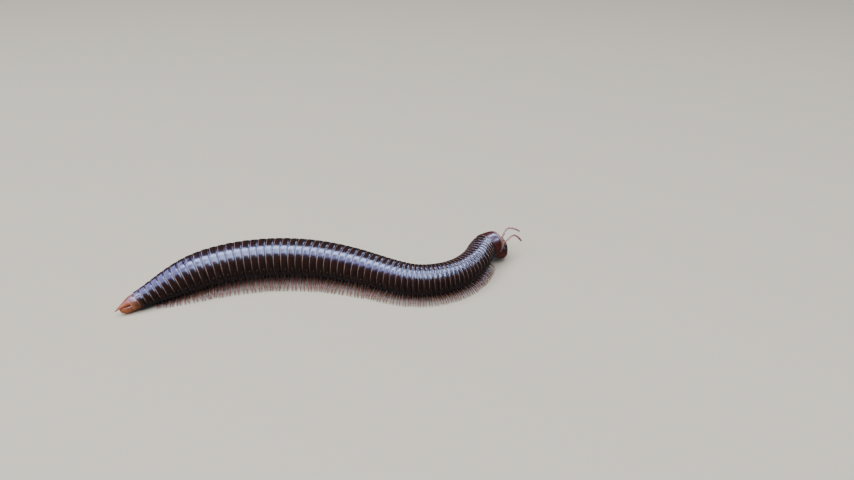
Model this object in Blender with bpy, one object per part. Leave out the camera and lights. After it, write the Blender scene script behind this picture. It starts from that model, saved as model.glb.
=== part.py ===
"""A giant millipede at life size, standing still on its feet in an S-shaped walk.

Frame: +Z up with the floor at Z = 0, the head towards +X, the tail towards -X, metres.
The body line is measured backwards from the front edge of the collum, the shield behind the head.
Rings follow it, and each trunk length is seven rings with their legs, fused into one closed solid.
"""

import math

import bmesh
import bpy
import numpy as np
from mathutils import Matrix, Vector

MM = 0.001
GAP = 0.3 * MM  # clear space between neighbouring pieces
WELD = 0.003 * MM  # points closer than this after a Boolean are one point

# Body line: heading (0 is +X, 90 is +Y), height of the centre and diameter, each at
# distances in millimetres behind the collum's front edge
HEADINGS_DEG = (
    (0, 29), (2, 33), (4.6, 57), (6.8, 67), (9.2, 76), (12, 55), (15, 51), (20, 33), (25, 17), (30, -2),
    (35, -20), (40, -23), (50, -16.5), (60, -6.5), (70, 5), (80, 16), (90, 25.5), (100, 33), (112, 42),
)
HEIGHTS_MM = (
    (0, 6.3), (10, 6.0), (20, 5.6), (30, 5.7), (40, 6.2), (50, 6.9), (60, 7.4), (70, 7.6),
    (80, 7.4), (87, 6.8), (92, 5.9), (97, 4.6), (102, 3.3), (107, 2.3), (112, 1.5),
)
DIAMETERS_MM = (
    (0, 6.9), (4, 7.5), (12, 7.7), (22, 7.8), (31, 8.0), (41, 8.5), (48, 9.1), (56, 9.6),
    (63, 9.9), (76, 10.0), (86, 9.7), (91, 9.2), (95, 8.2), (99, 6.8), (103, 5.3), (106, 4.4),
)
PITCHES_MM = (
    (4, 1.3), (12, 1.25), (17, 1.14), (31, 1.15), (35, 1.4), (39, 1.75), (46, 2.0), (60, 2.1),
    (80, 2.07), (95, 1.95), (106, 1.7),
)
LINE_STEP = 0.25 * MM
SMOOTHING = 5 * MM  # the line's values are averaged over this length
COLLUM_FRONT = (44.6223 * MM, 10.9592 * MM)  # plan place that puts the origin under the middle of the box

# Collum: each row is the distance behind its front edge and the share of the body's radius
COLLUM_LENGTH = 4.6 * MM
COLLUM_ROWS_MM = ((0, 0.92), (0.6, 1), (2.6, 1.01), (6.4, 1))  # on past its end, where a plane cuts it

# Rings
TELSON_AT = 105.5 * MM
RINGS = 63
RINGS_IN_A_LENGTH = 7
RING_SIDES = 16
GROOVE_DEPTH = 0.055  # of the ring's radius, at the front of each ring
SHOULDER_SHARE = 0.22  # of the ring's length that the rise from the groove takes
SHOULDER_DROP = 0.012
BELLY_FLATTENING = 0.05

# Legs: places are shares of the ring's radius, sideways from the centre line and down from it
LEGS_IN_A_RING = (0.34, 0.75)
SINGLE_PAIR_RINGS = 3
LEGLESS_RINGS = 2
ROOT_OUT, ROOT_DOWN = 0.16, 0.80
HIP_OUT, HIP_HEIGHT = 0.24, 0.86  # heights are shares of the belly's height over the floor
KNEE_OUT, KNEE_HEIGHT = 0.84, 0.66
FOOT_OUT = 1.10
LEG_WIDTHS = (0.6 * MM, 0.6 * MM, 0.52 * MM, 0.32 * MM)  # root, hip, knee, foot
SWING = 0.13  # of the radius, how far a foot stands before or behind its root
KNEE_SWING = 0.5  # of the foot's swing
LEGS_IN_A_WAVE = 15
LIFT = 0.45 * MM
LIFT_FROM = 0.4  # the cosine of the wave above which a foot is off the floor
FULL_LEG_RADIUS = 3.9 * MM  # legs are thinner and swing less on rings smaller than this
FULL_LEG_RING = 1.9 * MM  # and on rings shorter than this

# Front frame: x forward from the collum's front plane, y left, z up, millimetres.
# The collum ends, and the head begins, along this outline of x and z
NECK_OUTLINE_MM = (
    (0, 9), (0, 0.9), (-0.65, -1), (-1.5, -2.2), (-3.1, -3.2), (-4.2, -3.8), (-4.2, -9), (-14, -9), (-14, 9),
)
NECK_WIDTH_MM = 12
BEFORE_RINGS_MM = ((0, -8, -8), (12, 8, 8))  # in the frame of the collum's back edge

# Head frame: the front frame turned to the right and bent down about HEAD_AT.
# Each row is x, half width, top, bottom
HEAD_AT_MM = (-0.7, 0.1, -0.5)
HEAD_YAW = math.radians(-24)
HEAD_PITCH = math.radians(54)
HEAD_ROWS_MM = (
    (-1.5, 2.6, 2.2, -2.6), (-0.5, 2.85, 2.7, -2.9), (0.7, 3.0, 3.0, -3.0), (1.8, 3.0, 2.95, -2.9),
    (2.8, 2.85, 2.65, -2.6), (3.8, 2.45, 2.1, -2.1), (4.7, 1.95, 1.4, -1.6), (5.2, 1.4, 0.7, -1.15),
)
HEAD_SIDES = 18
HEAD_SQUARENESS = 0.85  # 1 is an oval, less is squarer
CHIN_NARROWING = 0.2
EYE_MM = (1.5, 2.5, 1.5)
EYE_RADII_MM = (0.75, 0.36, 0.5)
SOCKET_MM = (0.8, 1.3, 2.5)
SOCKET_RADIUS = 0.66 * MM
CHEEK_LOW_MM, CHEEK_HIGH_MM = (-3.0, 1.3, -5.0), (3.9, 5.0, -0.4)
CHIN_PLATE_LOW_MM, CHIN_PLATE_HIGH_MM = (-3.0, -1.15, -5.0), (4.3, 1.15, -1.6)
NOTCH_MM = (5.25, 0, -0.8)
NOTCH_RADIUS = 0.45 * MM

# Antennae: eight articles, each thinner at its root; directions are heading and climb from
# straight ahead of the head, outwards and upwards positive, in degrees
ARTICLES_MM = (0.7, 1.35, 1.2, 1.2, 1.15, 1.1, 0.55, 0.25)
ARTICLE_WIDTHS_MM = (0.62, 0.62, 0.6, 0.6, 0.64, 0.66, 0.58, 0.5)
LEFT_TURNS_DEG = ((-20, 25), (14, 42), (18, 28), (-13, -3), (-33, -12), (-43, -25), (-43, -32), (-43, -34))
RIGHT_TURNS_DEG = ((20, 22), (-2, 20), (-12, 6), (3, -10), (23, -35), (33, -50), (38, -58), (38, -60))
ARTICLE_SWELL = ((0.0, 0.72), (0.8, 1.0))  # share of the article's length, share of its width
ANTENNA_SIDES = 8

# Tail, in its own frame: x backward from the last ring, y left, z up, millimetres.
# Each row is x, half width, top, bottom
TELSON_ROWS_MM = (
    (0.3, 2.0, 2.05, -2.0), (0.9, 2.0, 2.05, -2.0), (1.6, 1.8, 1.9, -1.75),
)
SPINE_ROWS_MM = (
    (0.9, 1.45, 1.9, 0.3), (2.2, 1.2, 1.65, 0.28), (3.4, 0.8, 1.2, 0.24), (4.6, 0.4, 0.72, 0.16),
    (5.6, 0.16, 0.3, 0.04),
)
SPINE_SIDES = 10
VALVES_MM, VALVE_RADII_MM = (2.0, 0, -0.4), (2.4, 1.5, 1.45)
VALVES_FROM_MM, VALVES_UP_TO_MM = 1.9, -0.08

# Finishes: name, colour and roughness, as the photograph shows them
SHELL = ("shell", (0.045, 0.018, 0.014), 0.25)
HEAD_SHELL = ("head_shell", (0.16, 0.045, 0.03), 0.3)
HORN = ("tail_shell", (0.42, 0.15, 0.05), 0.35)
FEELER = ("feeler", (0.42, 0.2, 0.17), 0.4)
EYE = ("eye", (0.01, 0.01, 0.012), 0.15)


def clear_scene():
    for thing in list(bpy.data.objects):
        bpy.data.objects.remove(thing)


def material(finish):
    name, colour, roughness = finish
    made = bpy.data.materials.get(name)
    if made is None:
        made = bpy.data.materials.new(name)
        made.use_nodes = True
        shader = made.node_tree.nodes["Principled BSDF"]
        shader.inputs["Base Color"].default_value = (*colour, 1)
        shader.inputs["Roughness"].default_value = roughness
    return made


def smooth_curve(table, at):
    """The table's values at these distances, averaged over SMOOTHING so that no bend is sudden."""
    places, values = np.array(table, float).T
    count = round(SMOOTHING / LINE_STEP) | 1
    kernel = np.full(count, 1 / count)
    padded = np.pad(np.interp(at / MM, places, values), count // 2, mode="reflect", reflect_type="odd")
    return np.convolve(padded, kernel, mode="valid")


def body_line():
    """Distances behind the collum's front, and the centre, heading, climb and radius at each."""
    back = np.arange(0, 112 * MM, LINE_STEP)
    heading = np.radians(smooth_curve(HEADINGS_DEG, back))
    height = smooth_curve(HEIGHTS_MM, back) * MM
    climb = -np.arcsin(np.gradient(height, LINE_STEP))
    step_x = np.cos(heading) * np.cos(climb) * LINE_STEP
    step_y = np.sin(heading) * np.cos(climb) * LINE_STEP
    x = COLLUM_FRONT[0] - np.concatenate([[0], np.cumsum(step_x[:-1])])
    y = COLLUM_FRONT[1] - np.concatenate([[0], np.cumsum(step_y[:-1])])
    radius = smooth_curve(DIAMETERS_MM, back) * MM / 2
    return back, np.stack([x, y, height, heading, climb, radius], axis=1)


LINE_BACK, LINE_VALUES = body_line()


def line_at(back):
    """Centre, forward, left and up vectors, and radius, of the body at this distance."""
    x, y, z, heading, climb, radius = (np.interp(back, LINE_BACK, column) for column in LINE_VALUES.T)
    forward = Vector(
        (math.cos(heading) * math.cos(climb), math.sin(heading) * math.cos(climb), math.sin(climb))
    )
    left = Vector((-math.sin(heading), math.cos(heading), 0))
    return Vector((x, y, z)), forward, left, forward.cross(left), radius


def frame_at(back, facing_back=False):
    """A matrix whose x runs forward, or backward, along the body from its centre, and z up."""
    centre, forward, left, up, _ = line_at(back)
    if facing_back:
        forward = -forward
        left = -left
    return Matrix.Translation(centre) @ Matrix((forward, left, up)).transposed().to_4x4()


def placed(points, frame):
    """Points given in millimetres in a frame, in the room's frame."""
    return [frame @ (Vector(point) * MM) for point in points]


def ring_edges():
    """Where each ring begins and ends, from the collum's back edge to the telson."""
    fine = np.linspace(COLLUM_LENGTH, TELSON_AT, 600)
    places, pitches = np.array(PITCHES_MM, float).T
    rate = 1 / np.interp(fine / MM, places, pitches)
    count = np.concatenate([[0], np.cumsum((rate[1:] + rate[:-1]) / 2)])
    return np.interp(np.arange(RINGS + 1) * count[-1] / RINGS, count, fine)


def girth(back, share, stiff_at=None):
    """One turn round the body at this distance: a circle a little flattened under the belly.

    With stiff_at, the turn keeps to the straight axis that the body has at that distance.
    """
    centre, forward, left, up, radius = line_at(back)
    if stiff_at is not None:
        centre, forward, left, up, _ = line_at(stiff_at)
        centre = centre + forward * (stiff_at - back)
    points = []
    for side in range(RING_SIDES):
        angle = 2 * math.pi * side / RING_SIDES
        belly = max(0.0, -math.sin(angle)) ** 6
        reach = radius * share * (1 - BELLY_FLATTENING * belly)
        points.append(centre + left * (reach * math.cos(angle)) + up * (reach * math.sin(angle)))
    return points


def oval(x, half_width, top, bottom, sides, narrowing=0.0, squareness=1.0):
    """An upright oval in a head or tail frame, narrower towards its foot."""
    middle, half_height = (top + bottom) / 2, (top - bottom) / 2
    points = []
    for side in range(sides):
        angle = 2 * math.pi * (side + 0.5) / sides
        across = math.copysign(abs(math.cos(angle)) ** squareness, math.cos(angle))
        upward = math.copysign(abs(math.sin(angle)) ** squareness, math.sin(angle))
        width = half_width * (1 - narrowing * (1 - upward) / 2)
        points.append((x, width * across, middle + half_height * upward))
    return points


def mesh_object(name, points, faces, split):
    mesh = bpy.data.meshes.new(name)
    mesh.from_pydata([tuple(point) for point in points], [], faces)
    work = bmesh.new()
    work.from_mesh(mesh)
    if split:
        bmesh.ops.triangulate(work, faces=work.faces)
    bmesh.ops.recalc_face_normals(work, faces=work.faces)
    work.to_mesh(mesh)
    work.free()
    made = bpy.data.objects.new(name, mesh)
    bpy.context.scene.collection.objects.link(made)
    return made


def loft(name, rows, split=False):
    """A closed solid through rows of points, with flat ends; split makes its faces triangles."""
    sides = len(rows[0])
    points = [point for row in rows for point in row]
    faces = [list(range(sides)), [len(points) - sides + side for side in range(sides)]]
    for row in range(len(rows) - 1):
        for side in range(sides):
            after = (side + 1) % sides
            low, high = row * sides, (row + 1) * sides
            faces.append([low + side, low + after, high + after, high + side])
    return mesh_object(name, points, faces, split)


def box(name, low_mm, high_mm, frame):
    low_x, low_y, low_z = low_mm
    high_x, high_y, high_z = high_mm
    ends = (
        [(x, low_y, low_z), (x, high_y, low_z), (x, high_y, high_z), (x, low_y, high_z)]
        for x in (low_x, high_x)
    )
    return loft(name, [placed(end, frame) for end in ends])


def ball(name, centre_mm, radii_mm, frame, segments=10, rings=6):
    """An ellipsoid in a frame."""
    mesh = bpy.data.meshes.new(name)
    work = bmesh.new()
    bmesh.ops.create_uvsphere(work, u_segments=segments, v_segments=rings, radius=1)
    size = Matrix.Diagonal((*(Vector(radii_mm) * MM), 1))
    place = frame @ Matrix.Translation(Vector(centre_mm) * MM) @ size
    bmesh.ops.transform(work, matrix=place, verts=work.verts)
    bmesh.ops.triangulate(work, faces=work.faces)
    bmesh.ops.recalc_face_normals(work, faces=work.faces)
    work.to_mesh(mesh)
    work.free()
    made = bpy.data.objects.new(name, mesh)
    bpy.context.scene.collection.objects.link(made)
    return made


def keep_largest(work):
    """Deletes all but the closed surface with the largest box, so that one body is left."""
    left = set(work.verts)
    shells = []
    while left:
        shell, queue = set(), [left.pop()]
        while queue:
            vertex = queue.pop()
            shell.add(vertex)
            for edge in vertex.link_edges:
                other = edge.other_vert(vertex)
                if other in left:
                    left.discard(other)
                    queue.append(other)
        shells.append(shell)
    shells.sort(key=len)
    for shell in shells[:-1]:
        bmesh.ops.delete(work, geom=list(shell), context="VERTS")


def combined(base, others, operation):
    """Applies one Boolean of base with the other objects, which are then removed."""
    group = bpy.data.collections.new(base.name + "_pieces")
    bpy.context.scene.collection.children.link(group)
    for other in others:
        bpy.context.scene.collection.objects.unlink(other)
        group.objects.link(other)
    modifier = base.modifiers.new("join", "BOOLEAN")
    modifier.operation = operation
    modifier.operand_type = "COLLECTION"
    modifier.collection = group
    modifier.solver = "EXACT"
    graph = bpy.context.evaluated_depsgraph_get()
    mesh = bpy.data.meshes.new_from_object(base.evaluated_get(graph))
    base.modifiers.clear()
    base.data = mesh
    for other in others:
        bpy.data.objects.remove(other)
    bpy.data.collections.remove(group)
    work = bmesh.new()
    work.from_mesh(mesh)
    keep_largest(work)
    bmesh.ops.remove_doubles(work, verts=work.verts, dist=WELD)
    bmesh.ops.dissolve_degenerate(work, edges=work.edges, dist=WELD)
    bmesh.ops.triangulate(work, faces=work.faces)
    work.to_mesh(mesh)
    work.free()
    return base


def finish(made, look):
    made.data.materials.clear()
    made.data.materials.append(material(look))
    made.data.shade_smooth()
    made.data.set_sharp_from_angle(angle=math.radians(35))
    return made


def leg(name, back, side, number, ring_length):
    """One walking leg: down from the belly beside its middle, out to the knee and to the floor."""
    centre, forward, left, up, radius = line_at(back)
    along = Vector((forward.x, forward.y, 0)).normalized()
    out = left * side
    belly = centre.z - radius
    ground = Vector((centre.x, centre.y, 0))
    phase = 2 * math.pi * number / LEGS_IN_A_WAVE
    thin = min(1.0, radius / FULL_LEG_RADIUS, ring_length / FULL_LEG_RING)
    swing = along * (SWING * radius * thin * math.sin(phase))
    lift = Vector((0, 0, LIFT * max(0.0, math.cos(phase) - LIFT_FROM) / (1 - LIFT_FROM)))
    under = centre - up * radius
    hip = Vector((under.x, under.y, HIP_HEIGHT * belly))
    knee = ground + Vector((0, 0, KNEE_HEIGHT * belly))
    places = [
        centre + out * (ROOT_OUT * radius) - up * (ROOT_DOWN * radius),
        hip + out * (HIP_OUT * radius),
        knee + out * (KNEE_OUT * radius) + swing * KNEE_SWING + lift,
        ground + out * (FOOT_OUT * radius) + swing + lift,
    ]
    across = (out, (out + up * 0.8).normalized(), (out + up).normalized(), out)
    rows = []
    for place, width, over in zip(places, LEG_WIDTHS, across):
        half = width * thin / 2
        corners = ((-1, -1), (1, -1), (1, 1), (-1, 1))
        rows.append([place + along * (half * a) + over * (half * b) for a, b in corners])
    return loft(name, rows, split=True)


def trunk_length(number, edges):
    """Seven rings, each a sleeve that rises from a groove, with the legs that grow from them."""
    first = number * RINGS_IN_A_LENGTH
    rows, legs = [], []
    for ring in range(first, first + RINGS_IN_A_LENGTH):
        front, rear = edges[ring], edges[ring + 1]
        start = front + GAP if ring == first else front
        rows.append(girth(start, 1 - GROOVE_DEPTH))
        rows.append(girth(front + (rear - front) * SHOULDER_SHARE, 1 - SHOULDER_DROP))
        rows.append(girth(rear, 1))
        if ring >= RINGS - LEGLESS_RINGS:
            continue
        for place in LEGS_IN_A_RING[1:] if ring < SINGLE_PAIR_RINGS else LEGS_IN_A_RING:
            pair = 2 * ring + (place == LEGS_IN_A_RING[1])
            for side in (1, -1):
                legs.append(leg("leg", front + (rear - front) * place, side, pair, rear - front))
    made = loft(f"trunk_{number + 1}", rows)
    if legs:
        combined(made, legs, "UNION")
    return finish(made, SHELL)


def prism(name, outline_mm, width_mm, frame):
    """A solid that has this outline of x and z, and reaches width_mm across."""
    sides = [[(x, y, z) for x, z in outline_mm] for y in (width_mm / 2, -width_mm / 2)]
    return loft(name, [placed(side, frame) for side in sides])


def shifted(outline_mm, by):
    """The outline moved forward by this much, and down by half as much for its slanting parts."""
    return [(x + by, z - by / 2) for x, z in outline_mm]


def front_frame():
    return frame_at(COLLUM_LENGTH / 2) @ Matrix.Translation((COLLUM_LENGTH / 2, 0, 0))


def head_frame():
    bend = Matrix.Rotation(HEAD_YAW, 4, "Z") @ Matrix.Rotation(HEAD_PITCH, 4, "Y")
    return front_frame() @ Matrix.Translation(Vector(HEAD_AT_MM) * MM) @ bend


def collum():
    """The shield behind the head: straight, longer than a ring, and cut away below for the jaws."""
    rows = [girth(back * MM, share, COLLUM_LENGTH / 2) for back, share in COLLUM_ROWS_MM]
    keep = prism("keep", shifted(NECK_OUTLINE_MM, -GAP / MM / 2), NECK_WIDTH_MM, front_frame())
    made = combined(loft("collum", rows), [keep], "INTERSECT")
    before_rings = box("before_rings", *BEFORE_RINGS_MM, frame_at(COLLUM_LENGTH))
    return finish(combined(made, [before_rings], "INTERSECT"), HEAD_SHELL)


def grown(low, high, by):
    return tuple(value - by for value in low), tuple(value + by for value in high)


def mirrored(low, high):
    return (low[0], -high[1], low[2]), (high[0], -low[1], high[2])


def head_whole(name):
    ovals = [oval(*row, HEAD_SIDES, CHIN_NARROWING, HEAD_SQUARENESS) for row in HEAD_ROWS_MM]
    whole = loft(name, [placed(points, head_frame()) for points in ovals])
    behind = prism("cut", shifted(NECK_OUTLINE_MM, GAP / MM / 2), NECK_WIDTH_MM, front_frame())
    return combined(whole, [behind], "DIFFERENCE")


def head_parts():
    """The head is modelled whole, then parted into capsule, cheek plates and chin plate."""
    gap = GAP / MM
    frame = head_frame()
    cheeks = {"left": (CHEEK_LOW_MM, CHEEK_HIGH_MM), "right": mirrored(CHEEK_LOW_MM, CHEEK_HIGH_MM)}
    chin = (CHIN_PLATE_LOW_MM, CHIN_PLATE_HIGH_MM)
    cutters = [box("cut", *grown(*corners, gap / 2), frame) for corners in (*cheeks.values(), chin)]
    cutters.append(ball("cut", NOTCH_MM, [NOTCH_RADIUS / MM] * 3, frame))
    for sign in (1, -1):
        eye_centre = (EYE_MM[0], EYE_MM[1] * sign, EYE_MM[2])
        cutters.append(ball("cut", eye_centre, [radius + gap for radius in EYE_RADII_MM], frame))
        socket = (SOCKET_MM[0], SOCKET_MM[1] * sign, SOCKET_MM[2])
        cutters.append(ball("cut", socket, [SOCKET_RADIUS / MM] * 3, frame))
    finish(combined(head_whole("head"), cutters, "DIFFERENCE"), HEAD_SHELL)
    for side, corners in cheeks.items():
        keep = box("keep", *grown(*corners, -gap / 2), frame)
        finish(combined(head_whole(f"jaw_{side}"), [keep], "INTERSECT"), HEAD_SHELL)
    keep = box("keep", *grown(*chin, -gap / 2), frame)
    finish(combined(head_whole("chin_plate"), [keep], "INTERSECT"), HEAD_SHELL)


def eyes():
    for side, sign in (("left", 1), ("right", -1)):
        centre = (EYE_MM[0], EYE_MM[1] * sign, EYE_MM[2])
        finish(ball(f"eye_{side}", centre, EYE_RADII_MM, head_frame()), EYE)


def antenna(side, sign, turns):
    """Eight articles from the socket outwards, each swelling towards its far end."""
    frame = front_frame()
    socket = head_frame() @ (Vector((SOCKET_MM[0], SOCKET_MM[1] * sign, SOCKET_MM[2])) * MM)
    place = (frame.inverted() @ socket) / MM
    rows = []
    for length, width, (turn, climb) in zip(ARTICLES_MM, ARTICLE_WIDTHS_MM, turns):
        turn, climb = math.radians(turn) * sign, math.radians(climb)
        level = Vector((math.cos(turn), math.sin(turn), 0))
        run = level * math.cos(climb) + Vector((0, 0, math.sin(climb)))
        across = Vector((-level.y, level.x, 0))
        over = run.cross(across)
        for share, swell in ARTICLE_SWELL:
            middle = place + run * (length * share)
            half = width * swell / 2
            angles = [2 * math.pi * step / ANTENNA_SIDES for step in range(ANTENNA_SIDES)]
            turnings = [across * math.cos(angle) + over * math.sin(angle) for angle in angles]
            rows.append(placed([middle + turning * half for turning in turnings], frame))
        place = place + run * length
    finish(loft(f"antenna_{side}", rows), FEELER)


def telson():
    """The last ring with its pointed spine over the anal valves."""
    frame = frame_at(TELSON_AT, facing_back=True)
    ring = loft("telson", [placed(oval(*row, RING_SIDES), frame) for row in TELSON_ROWS_MM])
    spine = loft("spine", [placed(oval(*row, SPINE_SIDES), frame) for row in SPINE_ROWS_MM])
    finish(combined(ring, [spine], "UNION"), HORN)


def anal_valves():
    """Two rounded lips that close the body under the spine, with the slit between them."""
    gap = GAP / MM
    frame = frame_at(TELSON_AT, facing_back=True)
    for side, low_y, high_y in (("right", gap / 2, 3.0), ("left", -3.0, -gap / 2)):
        whole = ball(f"anal_valve_{side}", VALVES_MM, VALVE_RADII_MM, frame, 12, 8)
        keep = box("keep", (VALVES_FROM_MM, low_y, -4.0), (6.0, high_y, VALVES_UP_TO_MM), frame)
        finish(combined(whole, [keep], "INTERSECT"), HORN)


def build():
    clear_scene()
    edges = ring_edges()
    for number in range(RINGS // RINGS_IN_A_LENGTH):
        trunk_length(number, edges)
    collum()
    head_parts()
    eyes()
    antenna("left", 1, LEFT_TURNS_DEG)
    antenna("right", -1, RIGHT_TURNS_DEG)
    telson()
    anal_valves()


build()
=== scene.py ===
"""The looks of a giant millipede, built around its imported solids.

Lengths are metres in the solids' frame: +Z up, the head towards +X, the floor at Z = 0.
The body line is the same as the solids': distances run backwards from the collum's front edge.
"""

import functools
import math

import bmesh
import bpy
import numpy as np
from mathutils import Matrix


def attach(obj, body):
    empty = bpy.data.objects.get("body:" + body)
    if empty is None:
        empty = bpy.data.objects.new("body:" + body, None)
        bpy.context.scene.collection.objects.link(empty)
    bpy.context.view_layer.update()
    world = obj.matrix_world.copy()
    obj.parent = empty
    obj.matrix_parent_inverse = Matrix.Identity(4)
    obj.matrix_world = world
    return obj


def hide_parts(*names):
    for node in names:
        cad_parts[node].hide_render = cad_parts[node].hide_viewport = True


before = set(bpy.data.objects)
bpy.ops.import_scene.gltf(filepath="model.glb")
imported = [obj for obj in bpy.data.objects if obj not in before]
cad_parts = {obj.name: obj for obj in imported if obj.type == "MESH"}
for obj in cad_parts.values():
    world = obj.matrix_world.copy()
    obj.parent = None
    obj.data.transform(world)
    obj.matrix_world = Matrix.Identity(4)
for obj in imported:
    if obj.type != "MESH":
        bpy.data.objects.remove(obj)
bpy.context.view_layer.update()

MM = 0.001

# Body line, as in the part's source: heading, height of the centre and diameter by distance
HEADINGS_DEG = (
    (0, 29), (2, 33), (4.6, 57), (6.8, 67), (9.2, 76), (12, 55), (15, 51), (20, 33), (25, 17), (30, -2),
    (35, -20), (40, -23), (50, -16.5), (60, -6.5), (70, 5), (80, 16), (90, 25.5), (100, 33), (112, 42),
)
HEIGHTS_MM = (
    (0, 6.3), (10, 6), (20, 5.6), (30, 5.7), (40, 6.2), (50, 6.9), (60, 7.4), (70, 7.6), (80, 7.4),
    (87, 6.8), (92, 5.9), (97, 4.6), (102, 3.3), (107, 2.3), (112, 1.5),
)
DIAMETERS_MM = (
    (0, 6.9), (4, 7.5), (12, 7.7), (22, 7.8), (31, 8), (41, 8.5), (48, 9.1), (56, 9.6), (63, 9.9), (76, 10),
    (86, 9.7), (91, 9.2), (95, 8.2), (99, 6.8), (103, 5.3), (106, 4.4),
)
PITCHES_MM = (
    (4, 1.3), (12, 1.25), (17, 1.14), (31, 1.15), (35, 1.4), (39, 1.75), (46, 2), (60, 2.1), (80, 2.07),
    (95, 1.95), (106, 1.7),
)
LINE_LENGTH, LINE_STEP = 112 * MM, 0.25 * MM
SMOOTHING = 5 * MM
COLLUM_FRONT = (44.6223 * MM, 10.9592 * MM)
COLLUM_LENGTH = 4.6 * MM
TELSON_AT = 105.5 * MM
RINGS = 63
RINGS_IN_A_LENGTH = 7
BELLY_FLATTENING = 0.05

# One ring's outline, from its front under the ring before it, over the outside and back within:
# share of the ring's length, share of its radius
RING_PROFILE = (
    (-0.36, 0.9), (-0.33, 0.925), (-0.27, 0.948), (-0.2, 0.959), (-0.1, 0.968), (0, 0.975), (0.05, 0.977),
    (0.1, 0.978), (0.135, 0.976), (0.155, 0.97), (0.175, 0.971), (0.195, 0.978), (0.22, 0.985),
    (0.25, 0.99), (0.3, 0.9935), (0.38, 0.9962), (0.5, 0.998), (0.62, 0.999), (0.75, 0.9994), (0.87, 0.999),
    (0.905, 0.998), (0.92, 0.996), (0.94, 0.997), (0.965, 0.996), (0.985, 0.993), (0.997, 0.989),
    (1, 0.985), (0.99, 0.982), (0.95, 0.979), (0.85, 0.973), (0.6, 0.953), (0.2, 0.915),
)
PLATE_FROM = 0.2
# In the tight bend behind the neck the plates' ends lie up to BEND_DOME of the radius lower
BEND_DOME, BEND_AT, BEND_REACH = 0.01, 30 * MM, 7 * MM
TAN_RINGS = 2.6 * MM  # length over which the last rings turn tan
RING_SIDES = 96
FIRST_PORED_RING = 4
PORE_RISE = -0.10  # quarter turns up from the body's mid-height
PORE_ALONG = 0.44
QUARTER_TURN = 3.9  # round the body, in lengths of a ring
STRIAE = 95.0  # radians of their sine in a quarter turn
HOOPS = 260.0  # radians of their sine in a ring
SPREAD = 1.7  # of the reflections, for the streak's soft edges

# The collum's outline the same way: millimetres from its front margin near its edges, share of the
# length between them, share of the radius
COLLUM_PROFILE = (
    (0.3, 0, 0.88), (0.05, 0, 0.893), (0, 0, 0.905), (0.02, 0, 0.922), (0.08, 0, 0.936), (0.16, 0, 0.94),
    (0.24, 0, 0.934), (0.3, 0, 0.925), (0.36, 0, 0.93), (0.44, 0, 0.946), (0.52, 0, 0.958),
    (0.52, 0.08, 0.974), (0.52, 0.18, 0.988), (0.52, 0.32, 0.999), (0.52, 0.5, 1.005), (0.52, 0.7, 1.007),
    (0.52, 0.85, 1.006), (0.52, 1, 1.004), (0.55, 1, 1.002), (0.61, 1, 0.998), (0.66, 1, 0.9995),
    (0.73, 1, 0.9985), (0.78, 1, 0.994), (0.8, 1, 0.984), (0.79, 1, 0.972), (0.7, 1, 0.962),
    (0.45, 0.6, 0.935), (0.45, 0, 0.9),
)
COLLUM_EDGES_MM = 0.8
FURROW_SPACING_MM = 0.5
# Height over the body's centre, and how far forward the front margin reaches there
COLLUM_MARGIN_MM = ((-3.9, -4.2), (-3.2, -3), (-2.2, -1.5), (-1, -0.6), (0.2, -0.12), (0.9, 0), (3.9, 0))
COLLUM_SIDES = 128

# Legs
LEGS_IN_A_RING = (0.34, 0.75)
SINGLE_PAIR_RINGS, LEGLESS_RINGS = 3, 2
ROOT_OUT, ROOT_DOWN = 0.16, 0.80
HIP_OUT, HIP_HEIGHT = 0.24, 0.86
KNEE_OUT, KNEE_HEIGHT = 0.84, 0.66
FOOT_OUT = 1.10
SWING, KNEE_SWING = 0.13, 0.5
LEGS_IN_A_WAVE = 15
LIFT, LIFT_FROM = 0.45 * MM, 0.4
FULL_LEG_RADIUS, FULL_LEG_RING = 3.9 * MM, 1.9 * MM
LEG_SIDES = 7
LEG_BEND = 0.07  # share of a leg over which each of its bends is spread
# Along a leg: share of its path, width in millimetres, and paleness of its skin there
LEG_ROWS = (
    (0, 0.5, 0), (0.13, 0.6, 0.1), (0.185, 0.44, 0.9), (0.22, 0.52, 0.1), (0.37, 0.58, 0.1),
    (0.395, 0.41, 1), (0.42, 0.5, 0.1), (0.56, 0.55, 0.15), (0.585, 0.38, 1), (0.61, 0.45, 0.1),
    (0.72, 0.47, 0.2), (0.742, 0.33, 1), (0.765, 0.38, 0.2), (0.86, 0.38, 0.3), (0.882, 0.25, 1),
    (0.905, 0.28, 0.5), (0.945, 0.22, 0.6), (0.958, 0.1, 0.4),
)
CLAW_ROWS = ((0.935, 0.15), (0.955, 0.16), (0.975, 0.12), (0.99, 0.06), (1.0, 0.015))
CLAW_SIDES = 5

# Head, in the front frame turned right and bent down about HEAD_AT: x forward, half width, top and
# bottom of each section
HEAD_AT_MM = (-0.7, 0.1, -0.5)
HEAD_YAW = math.radians(-24)
HEAD_PITCH = math.radians(54)
HEAD_ROWS_MM = (
    (-1.5, 2.6, 2.2, -2.6), (-0.5, 2.85, 2.7, -2.9), (0.7, 3, 3, -3), (1.8, 3, 2.95, -2.9),
    (2.8, 2.85, 2.65, -2.6), (3.8, 2.45, 2.1, -2.1), (4.7, 1.95, 1.4, -1.6), (5.2, 1.4, 0.7, -1.15),
)
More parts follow.
